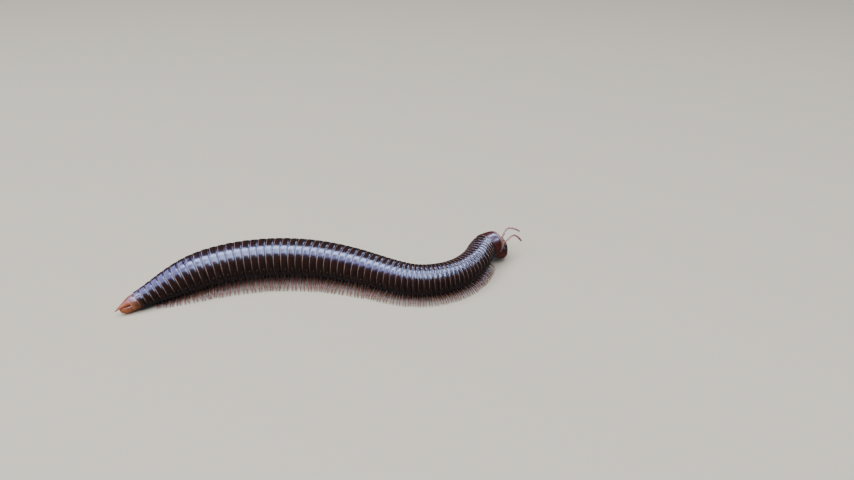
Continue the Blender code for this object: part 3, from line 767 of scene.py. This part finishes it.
def head_surface(x, angle):
    """The head's surface in its frame, in millimetres, and the outward way in each section.

    y = w (1 - n (1 - S) / 2) C and z = m + h S, with C and S the cosine and sine of the angle, each
    raised to HEAD_SQUARENESS with its sign kept; w, m and h come from HEAD_ROWS_MM at x.
    """
    width, top, bottom = np.moveaxis(curve_through(HEAD_ROWS_MM, x), -1, 0)
    cosine, sine = np.cos(angle), np.sin(angle)
    across = np.sign(cosine) * np.abs(cosine) ** HEAD_SQUARENESS
    upward = np.sign(sine) * np.abs(sine) ** HEAD_SQUARENESS
    middle, half = (top + bottom) / 2, (top - bottom) / 2
    narrowed = width * (1 - CHIN_NARROWING * (1 - upward) / 2)
    points = xyz(x, narrowed * across, middle + half * upward)
    return points, unit(xyz(0 * x, cosine / width, sine / half))


def away_from(points, centre):
    """Distances from a place in the head, or from its mirror image where that is nearer."""
    places = np.array(centre), np.array(centre) * (1, -1, 1)
    return np.minimum(*(np.linalg.norm(points - place, axis=-1) for place in places))


def head_capsule(material):
    """The crown, face and upper lip in one smooth shell, sunk where the cheek and chin plates lie.

    Points move outward by the sum of the line down the crown, a ramp for each hollow, a bell for
    each mark and the ramps of the plates' beds; the rows of FACE_CLOSING_MM close the face.
    """
    bulk = np.concatenate([np.linspace(-1.5, 4.5, 74), np.linspace(4.56, 5.2, 16)])
    x, angle = np.meshgrid(bulk, angles_round(HEAD_SIDES, 0.5), indexing="ij")
    points, outward = head_surface(x, angle)
    y, z = points[..., 1], points[..., 2]
    raised = -0.05 * bell(y, 0, 0.05) * ramp_up(z, 2.0, 0.8) * (1 - ramp_up(x, 1.6, 0.6))
    for place, depth, reach, edge in HOLLOWS_MM:
        raised -= depth * (1 - ramp_up(away_from(points, place), reach, edge))
    for place, height, at, width in HEAD_MARKS_MM:
        raised += height * bell(away_from(points, place), at, width)
    beside = ramp_up(np.abs(y), (CHEEK_INNER_MM + CHIN_EDGE_MM) / 2, 0.05)
    cheek = beside * ramp_up(-x, -CHEEK_FRONT_MM - 0.05, 0.16) * ramp_up(-z, -CHEEK_TOP_MM - 0.03, 0.16)
    chin_bed = (1 - beside) * ramp_up(-x, -CHIN_FRONT_MM - 0.05, 0.16) * ramp_up(-z, -CHIN_TOP_MM - 0.2, 0.2)
    raised += PLATE_BED_MM * np.maximum(cheek, chin_bed)
    points = points + outward * raised[..., None]
    middle = points[-1].mean(axis=0)
    closing = np.array(FACE_CLOSING_MM)
    ends = middle + (points[-1] - middle) * closing[:, :1, None]
    ends[..., 0] = closing[:, 1:]
    points = np.concatenate([points, ends])
    tone = 0.25 + 0.75 * ramp_up(points[..., 0], 1.8, 4.0)
    rim = 0.5 * bell(away_from(points, SOCKET_MM), 0.76, 0.18)
    shape = Shape().tubes(to_room(points, head_place()), tone=tone, rim=rim, **UNFURROWED)
    shape.piece("head_capsule", material, "head_shell", "head")


def pillow(u, v, sharpness=10):
    """sqrt((1 - |2u - 1|^p)(1 - |2v - 1|^p)): 1 over the middle and rounded down to 0 at the edges."""
    return np.sqrt((1 - np.abs(2 * u - 1) ** sharpness) * (1 - np.abs(2 * v - 1) ** sharpness))


def plate_grid(front, rows, columns):
    """A plate's shares u along and v across, and x from PLATES_FROM_MM to its front edge by u."""
    u, v = np.meshgrid(np.linspace(0, 1, rows), np.linspace(0, 1, columns), indexing="ij")
    return u, v, PLATES_FROM_MM + (front - PLATES_FROM_MM) * u


def head_plate(name, material, replaced, x, angle, height, tone, worn):
    """A pillow of this height over its bed on the head, closed beneath."""
    points, outward = head_surface(x, angle)
    outer = to_room(points + outward * (PLATE_BED_MM - 0.02 + height)[..., None], head_place())
    inner = to_room(points + outward * (PLATE_BED_MM - 0.15), head_place())
    shape = Shape().plate(outer, inner, tone=tone, rim=worn, **UNFURROWED)
    shape.piece(name, material, "head_shell", replaced)


def cheeks(material):
    """The mandibles' outer plates, each bulging from its bed, with the suture between its two parts.

    The angle goes by v from the upper edge to the inner one; the height is a pillow less a bell.
    """
    u, v, x = plate_grid(CHEEK_FRONT_MM, 64, 40)
    width, top, bottom = np.moveaxis(curve_through(HEAD_ROWS_MM, x), -1, 0)
    upward = (CHEEK_TOP_MM - (top + bottom) / 2) / ((top - bottom) / 2)
    upper = -np.arcsin(np.clip(-upward, 0, 1) ** (1 / HEAD_SQUARENESS))
    narrowed = width * (1 - CHIN_NARROWING * 0.97)
    lower = -np.arccos(np.clip(CHEEK_INNER_MM / narrowed, 0, 1) ** (1 / HEAD_SQUARENESS))
    angle = upper + (lower - upper) * v
    height = 0.38 * pillow(u, v) - 0.10 * bell(x - 0.55 * (v - 0.5), 0.6, 0.07)
    for side, turned in (("left", angle), ("right", math.pi - angle)):
        worn = 0.25 * (1 - pillow(u, v, 6))
        head_plate(f"cheek_{side}", material, f"jaw_{side}", x, turned, height, 0.35 + 0.5 * u, worn)


def chin(material):
    """The plate under the mouth, grooved into its base, two side strips and two tongues.

    The angle goes by v from side to side; the height is a pillow, less a bell for each groove and
    with one for each knob at the mouth.
    """
    u, v, x = plate_grid(CHIN_FRONT_MM, 72, 56)
    width = curve_through(HEAD_ROWS_MM, x)[..., 0] * (1 - CHIN_NARROWING)
    edge = np.arccos(np.clip(CHIN_EDGE_MM / width, 0, 1) ** (1 / HEAD_SQUARENESS))
    angle = -math.pi + edge + (math.pi - 2 * edge) * v
    across = CHIN_EDGE_MM * (2 * v - 1)
    strips = bell(np.abs(across), 0.55 - 0.06 * (x - 1.5), 0.045)
    crossing = bell(x + 0.5 * np.abs(across), 1.5, 0.05) * (np.abs(across) < 0.6)
    between = bell(across, 0, 0.04) * ramp_up(x, 1.6, 0.1)
    height = 0.34 * pillow(u, v) - 0.08 * np.minimum(1, strips + crossing + between)
    for at in (0.28, 0.80):
        height += 0.07 * bell(np.abs(across), at, 0.13) * bell(x, 4.0, 0.16)
    head_plate("chin", material, "chin_plate", x, angle, height, 0.3 + 0.4 * u, 0.2 * (1 - pillow(u, v, 6)))


def ellipsoid(centre, radii, rows, columns):
    """c + (a cos p, b sin p cos t, d sin p sin t), its poles on the first axis."""
    p, t = np.meshgrid(np.linspace(0.02, math.pi - 0.02, rows), angles_round(columns), indexing="ij")
    return np.array(centre) + xyz(np.cos(p), np.sin(p) * np.cos(t), np.sin(p) * np.sin(t)) * radii


def across_of(ways):
    """Two unit vectors square to each of these, and to each other."""
    beside = unit(np.cross(ways, (0.3, 0.5, 0.81)))
    return beside, np.cross(beside, ways)


def eyes(material):
    """Each eye is an oval cushion set with small domed lenses, in offset rows over its outer face.

    A lens at (x, z) stands on the cushion at c + r w with w = (x/a, sqrt(1 - (x/a)^2 - (z/b)^2), z/b),
    and each of its turns is f + q (s cos t + u sin t) + h n, by the half widths q and heights h.
    """
    radii = np.array(EYE_RADII_MM)
    row, step = np.meshgrid(np.arange(-3, 4), np.arange(-6, 7), indexing="ij")
    x, z = (step + 0.5 * (row % 2)) * LENS_SPACING_MM, row * LENS_SPACING_MM * 0.87
    inside = (x / radii[0]) ** 2 + (z / radii[2]) ** 2
    x, z, inside = (values[inside < 0.8] for values in (x, z, inside))
    wide, high = np.array(LENS_PROFILE_MM).T[:, :, None, None]
    for side, sign in (("left", 1), ("right", -1)):
        centre = np.array(EYE_MM) * (1, sign, 1)
        ways = xyz(x / radii[0], sign * np.sqrt(1 - inside), z / radii[2])
        normal = unit(ways / radii)
        around = ways_round(*across_of(normal), angles_round(8))
        feet = centre + ways * radii * 0.93
        domes = feet[:, None, None] + around[:, None] * wide + normal[:, None, None] * high
        shape = Shape()
        shape.tubes(to_room(ellipsoid(centre, radii * 0.97, 24, 28), head_place()), along=0.8)
        shape.tubes(to_room(domes, head_place()), along=0.2)
        shape.piece(f"eye_lenses_{side}", material, "eye", f"eye_{side}")


def spikes(shape, roots, ways, size_mm):
    """Fine closed spikes with three sides: r + w/2 (s cos t + u sin t), drawn in to a tenth at the tip."""
    length, width = size_mm
    around = ways_round(*across_of(ways), angles_round(3)) * width / 2
    tips = roots + ways * length
    points = np.stack([roots[:, None] + around, tips[:, None] + around / 10], axis=1)
    shape.tubes(to_room(points, front_place()), along=np.array([0.0, 1.0])[:, None])


def antennae(skin, hair):
    """The feelers: eight articles, each swelling towards its far end, with short hairs and tip cones.

    Article k starts where the one before it ends, p_k = p_0 + the sum of l d before it, and its
    turns are p + s l d + w g / 2 (a cos t + b sin t), with g its swelling at the share s.
    """
    origin, axes = front_place()
    share, swell = np.array(ARTICLE_PROFILE).T
    length, width = np.array(ARTICLES_MM).T
    for side, sign, turns in (("left", 1, LEFT_TURNS_DEG), ("right", -1, RIGHT_TURNS_DEG)):
        turn, climb = np.radians(turns).T * ((sign,), (1,))
        run, beside = headed(turn, climb)
        over = np.cross(run, beside)
        socket = axes @ (to_room(np.array(SOCKET_MM) * (1, sign, 1), head_place()) - origin) / MM
        steps = run * length[:, None]
        starts = socket + np.cumsum(steps, axis=0) - steps
        around = ways_round(beside, over, angles_round(ANTENNA_SIDES))
        middles = starts[:, None] + run[:, None] * (length[:, None] * share)[..., None]
        half = (width[:, None] * swell / 2)[..., None, None]
        rows = (middles[:, :, None] + around[:, None] * half).reshape(-1, ANTENNA_SIDES, 3)
        tip = starts[-1] + steps[-1] + around[-1] * 0.02
        before = np.cumsum(length) - length
        along = ((before[:, None] + length[:, None] * share) / length.sum()).ravel()
        pale = np.tile((share < 0.03) | (share > 0.96), len(length)).astype(float)
        Shape().tubes(
            to_room(np.concatenate([rows, tip[None]]), front_place()),
            pale=np.append(pale, 0.6)[:, None], along=np.append(along, 1.0)[:, None],
        ).piece(f"feeler_{side}", skin, "limb", f"antenna_{side}")

        # Rings of hairs on the six long articles, and four blunt cones on the last
        at = np.array(HAIR_PLACES)[:, None]
        start, way, long, wide = (
            values[HAIRY_ARTICLES, None, None] for values in (starts, run, length, width)
        )
        outs = ways_round(
            beside[HAIRY_ARTICLES, None], over[HAIRY_ARTICLES, None], angles_round(HAIRS_AROUND, at * 3)
        )
        roots = start + way * (long * at)[..., None]
        roots = roots + outs * (wide * (np.interp(at, share, swell) * 0.48))[..., None]
        ways = outs * HAIR_OUT + way * HAIR_ON
        bristles = Shape()
        spikes(bristles, roots.reshape(-1, 3), ways.reshape(-1, 3), HAIR_MM)
        corners = around[-1, 2::4] * 0.1
        spikes(bristles, tip.mean(axis=0) + corners, run[-1] + 0 * corners, SENSE_CONE_MM)
        bristles.piece(f"feeler_hairs_{side}", hair, "limb", f"antenna_{side}")


def oval(x, half_width, top, bottom, sides):
    """An upright ellipse at each x of a tail frame: y = w cos t and z = m + h sin t."""
    angle = angles_round(sides, 0.5)
    x, half_width, top, bottom = (np.asarray(a, float)[:, None] for a in (x, half_width, top, bottom))
    height = (top + bottom) / 2 + (top - bottom) / 2 * np.sin(angle)
    return xyz(x + 0 * angle, half_width * np.cos(angle), height)


def tail(material):
    """The last ring, drawn out above into a pointed spine, with a small scale beneath.

    Its ovals follow a smooth curve through TELSON_ROWS_MM, three more between each two rows.
    """
    knots = np.array(TELSON_ROWS_MM)[:, 0]
    x = np.interp(np.arange(4 * len(knots) - 3) / 4, np.arange(len(knots)), knots)
    points = oval(x, *curve_through(TELSON_ROWS_MM, x).T, TELSON_SIDES)
    tone = 0.25 + 0.75 * ramp_up(points[..., 0], 1.2, 3.0)
    rim = 0.5 * bell(points[..., 0], 1.5, 0.12) * (points[..., 2] < 1.2)
    scale = ellipsoid(UNDER_SCALE_MM, np.array(UNDER_SCALE_RADII_MM), 16, 24)
    shape = Shape()
    shape.tubes(to_room(points, tail_place()), tone=tone, rim=rim, **UNFURROWED)
    shape.tubes(to_room(scale, tail_place()), tone=0.6, rim=0.0, **UNFURROWED)
    shape.piece("tail_ring", material, "tail_shell", "telson")


def valves(material):
    """The two lips that close the body: half ovals with a raised rim along the slit between them.

    Each is an ellipsoid, widened by bells of y, that soft_positive keeps to its own side of the slit
    and below VALVES_UP_TO_MM.
    """
    ceiling = VALVES_UP_TO_MM - VALVES_MM[2]
    for side, sign in (("right", 1), ("left", -1)):
        x, y, z = np.moveaxis(ellipsoid((0, 0, 0), np.array(VALVE_RADII_MM), 56, 64), -1, 0)
        y = y * sign
        lip = 1 + 0.05 * bell(y, 0.12, 0.14) - 0.03 * bell(y, 0.42, 0.12)
        x = x * lip
        y = HALF_SLIT_MM + soft_positive(y, 0.03)
        z = ceiling - soft_positive(ceiling - z * lip, 0.1)
        Shape().tubes(
            to_room(xyz(x, y * sign, z) + VALVES_MM, tail_place()),
            tone=0.7 + 0.3 * ramp_up(x, 1.2, 2.0), rim=0.35 * bell(y, 0.1, 0.12), **UNFURROWED,
        ).piece(f"valve_{side}", material, "tail_shell", f"anal_valve_{side}")


def camera():
    """The photograph's viewpoint, with its angle of view."""
    data = bpy.data.cameras.new("camera")
    data.sensor_width = 36
    data.lens = FOCAL_PX / IMAGE_WIDTH_PX * data.sensor_width
    data.clip_start, data.clip_end = 0.005, 20
    made = put_in_scene("camera", data)
    made.location = CAMERA_AT
    made.rotation_euler = (math.radians(CAMERA_TILT_DEG), 0, 0)
    bpy.context.scene.camera = made


def area_light(name, place, turn, size, power, colour, seen_in):
    """A rectangular lamp, seen only in the gloss or only in the diffuse shading."""
    light = bpy.data.lights.new(name, "AREA")
    light.shape = "RECTANGLE"
    light.size, light.size_y = size
    light.energy = power
    light.color = srgb(colour)[:3]
    lamp = put_in_scene(name, light)
    lamp.location = place
    lamp.rotation_euler = [math.radians(angle) for angle in turn]
    lamp.visible_diffuse = seen_in == "diffuse"
    lamp.visible_glossy = seen_in == "gloss"


def studio():
    """Bluish panels for the gloss, a wide soft light for the rest, and a plain pale floor.

    The floor stays out of the gloss, so that the lower flanks keep their dark colour.
    """
    for name, place, turn, size, power, colour in GLOSS_PANELS:
        area_light(f"panel_{name}", place, (0, 0, turn), size, power, colour, "gloss")
    area_light("soft_key", (-0.15, -0.35, 1.0), (20, -8, 0), (1.2, 1.2), 21.0, "#FFFAF2", "diffuse")

    world = bpy.data.worlds.new("studio")
    world.use_nodes = True
    background = world.node_tree.nodes["Background"]
    background.inputs["Color"].default_value = srgb("#C9D2DC")
    background.inputs["Strength"].default_value = 0.12
    bpy.context.scene.world = world

    mesh = bpy.data.meshes.new("floor")
    mesh.from_pydata([(-3, -3, 0), (3, -3, 0), (3, 3, 0), (-3, 3, 0)], [], [(0, 1, 2, 3)])
    matt = new_material("matt_floor", Base_Color=srgb("#E4E1DA"), Roughness=0.9, Specular_IOR_Level=0.0)[0]
    mesh.materials.append(matt)
    floor = put_in_scene("floor", mesh)
    floor.visible_glossy = False


def build():
    """Everything in the scene."""
    camera()
    studio()
    edges = ring_edges()
    crown = head_cuticle("head_cuticle", ((0, "#240C0A"), (0.5, "#381312"), (1, "#502220")), "#C09A8C", 0.26)
    shield = head_cuticle(
        "collum_cuticle", ((0, "#3A1512"), (0.45, "#481B17"), (0.75, "#421A18"), (1, "#52221E")),
        "#E0B8AE", 0.24,
    )
    tail_skin = head_cuticle("tail_cuticle", ((0, "#3A1A14"), (1, "#A8643E")), "#C09474", 0.3)
    leg_skin = limb_cuticle(
        "leg_cuticle", ((0, "#34110C"), (0.4, "#552018"), (0.8, "#703426"), (1, "#4E251B")),
        "#B0836A", 0.45,
    )
    feeler_skin = limb_cuticle(
        "feeler_cuticle", ((0, "#A06860"), (0.5, "#B07A70"), (1, "#7C4A44")), "#DCBAB0", 0.33
    )
    rings(ring_cuticle(), edges)
    legs(leg_skin, horn("claw_horn", "#7A4A2C", "#2A140C", 0.3), edges)
    collum(shield)
    head_capsule(crown)
    cheeks(crown)
    chin(crown)
    eyes(horn("eye_lens", "#0B0A0C", "#040404", 0.3))
    antennae(feeler_skin, horn("hair", "#8A5A3A", "#D8B48A", 0.4))
    tail(tail_skin)
    valves(tail_skin)


build()
